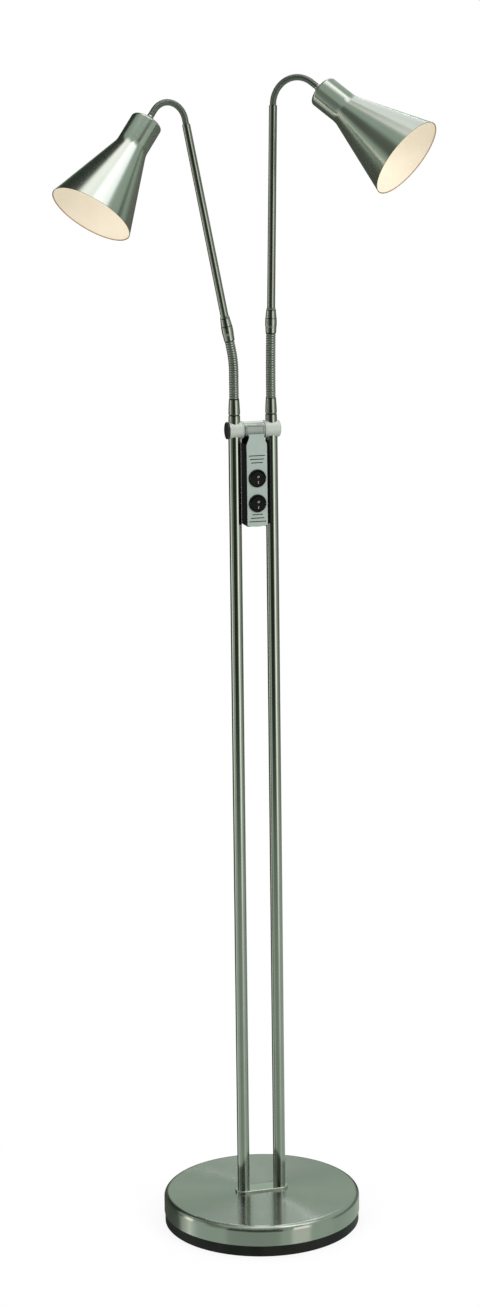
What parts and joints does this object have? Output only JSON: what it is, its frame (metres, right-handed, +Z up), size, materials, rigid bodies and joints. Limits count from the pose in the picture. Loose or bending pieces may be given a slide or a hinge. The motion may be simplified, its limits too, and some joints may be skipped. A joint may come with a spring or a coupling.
{
  "type": "two-head reading floor lamp",
  "caption": "Reading floor lamp: weighted round base, twin poles, switch housing on a cross bar, and gooseneck arms that end in hooked flared shades.",
  "frame": {"origin": "centre of the base's underside, on the floor", "axes": "+Z up along the poles, -Y to the front (the switch side), +X along the cross bar to the lamp's right as seen from the front"},
  "size_m": [0.4607, 0.2959, 1.4609],
  "materials": {
    "foot_plastic": "satin",
    "pad_foam": "matt",
    "cast_weight": "rough cast",
    "spun_cover": "circular spun satin",
    "black_plastic": "satin moulded",
    "rocker_plastic": "gloss",
    "end_cap": "satin",
    "ribbed_steel": "satin",
    "shade_steel": "brushed, cream enamel inside",
    "holder_plastic": "gloss",
    "bulb_glass": "frosted",
    "plate_silver": "silver lacquer",
    "collar_satin": "satin silver",
    "plain_steel": "plain",
    "satin_nickel": "satin nickel plate"
  },
  "bodies": {
    "stand": {"base_cover": "spun_cover", "base_weight": "cast_weight", "bottom_plate": "plain_steel", "cord_inlet_grommet": "black_plastic", "cross_tube_core": "plain_steel", "cross_tube_sleeve": "collar_satin", "flange_plate": "satin_nickel", "foot_ring": "foot_plastic", "front_saddle": "collar_satin", "housing_screws": "plain_steel", "left_arm_nipple": "plain_steel", "left_arm_ring": "satin_nickel", "left_collar": "collar_satin", "left_end_cap": "end_cap", "left_gooseneck_lower": "ribbed_steel", "left_lower_ferrule": "satin_nickel", "left_pole": "satin_nickel", "lower_rocker_pin": "plain_steel", "lower_switch_body": "black_plastic", "pole_bushes": "plain_steel", "pole_nipples": "plain_steel", "pole_nuts": "plain_steel", "pole_washers": "plain_steel", "right_arm_nipple": "plain_steel", "right_arm_ring": "satin_nickel", "right_collar": "collar_satin", "right_end_cap": "end_cap", "right_gooseneck_lower": "ribbed_steel", "right_lower_ferrule": "satin_nickel", "right_pole": "satin_nickel", "switch_front_plate": "plate_silver", "switch_housing": "black_plastic", "terminal_block": "black_plastic", "underside_pad": "pad_foam", "upper_rocker_pin": "plain_steel", "upper_switch_body": "black_plastic", "weight_standoffs": "cast_weight"},
    "left_neck": {"left_gooseneck_upper": "ribbed_steel"},
    "left_arm": {"left_upper_ferrule": "satin_nickel", "left_neck_plug": "plain_steel", "left_arm_tube": "satin_nickel", "left_hook": "ribbed_steel"},
    "left_head": {"left_hook_ferrule": "satin_nickel", "left_shade": "shade_steel", "left_shade_nut": "plain_steel", "left_lampholder": "holder_plastic", "left_bulb": "bulb_glass"},
    "right_neck": {"right_gooseneck_upper": "ribbed_steel"},
    "right_arm": {"right_upper_ferrule": "satin_nickel", "right_neck_plug": "plain_steel", "right_arm_tube": "satin_nickel", "right_hook": "ribbed_steel"},
    "right_head": {"right_hook_ferrule": "satin_nickel", "right_shade": "shade_steel", "right_shade_nut": "plain_steel", "right_lampholder": "holder_plastic", "right_bulb": "bulb_glass"},
    "upper_rocker_button": {"upper_rocker": "rocker_plastic"},
    "lower_rocker_button": {"lower_rocker": "rocker_plastic"}
  },
  "joints": [
    {"name": "upper_rocker_press", "type": "hinge", "parent": "stand", "child": "upper_rocker_button", "pos_m": [0, -0.0173, 0.9633], "axis": [-1, 0, 0], "range_deg": [0, 18]},
    {"name": "lower_rocker_press", "type": "hinge", "parent": "stand", "child": "lower_rocker_button", "pos_m": [0, -0.0173, 0.9319], "axis": [-1, 0, 0], "range_deg": [0, 18]},
    {"name": "left_arm_sideways", "type": "hinge", "parent": "stand", "child": "left_neck", "pos_m": [-0.0238, 0, 1.07975], "axis": [0, 1, 0], "range_deg": [-25, 10], "deforming": ["left_gooseneck_lower"]},
    {"name": "left_arm_forward", "type": "hinge", "parent": "left_neck", "child": "left_arm", "pos_m": [-0.02629, 0, 1.11606], "axis": [1, 0, 0], "range_deg": [-20, 30], "deforming": ["left_gooseneck_upper"]},
    {"name": "left_shade_tilt", "type": "hinge", "parent": "left_arm", "child": "left_head", "pos_m": [-0.10498, -0.00806, 1.41972], "axis": [0.3539, -0.9328, 0.0682], "range_deg": [-50, 22], "deforming": ["left_hook"]},
    {"name": "right_arm_sideways", "type": "hinge", "parent": "stand", "child": "right_neck", "pos_m": [0.0238, 0, 1.0815], "axis": [0, 1, 0], "range_deg": [-4, 25], "deforming": ["right_gooseneck_lower"]},
    {"name": "right_arm_forward", "type": "hinge", "parent": "right_neck", "child": "right_arm", "pos_m": [0.02429, 0, 1.1215], "axis": [1, 0, 0], "range_deg": [-20, 30], "deforming": ["right_gooseneck_upper"]},
    {"name": "right_shade_tilt", "type": "hinge", "parent": "right_arm", "child": "right_head", "pos_m": [0.05102, -0.01957, 1.4471], "axis": [0.6997, 0.7143, -0.0147], "range_deg": [-48, 25], "deforming": ["right_hook"]}
  ]
}
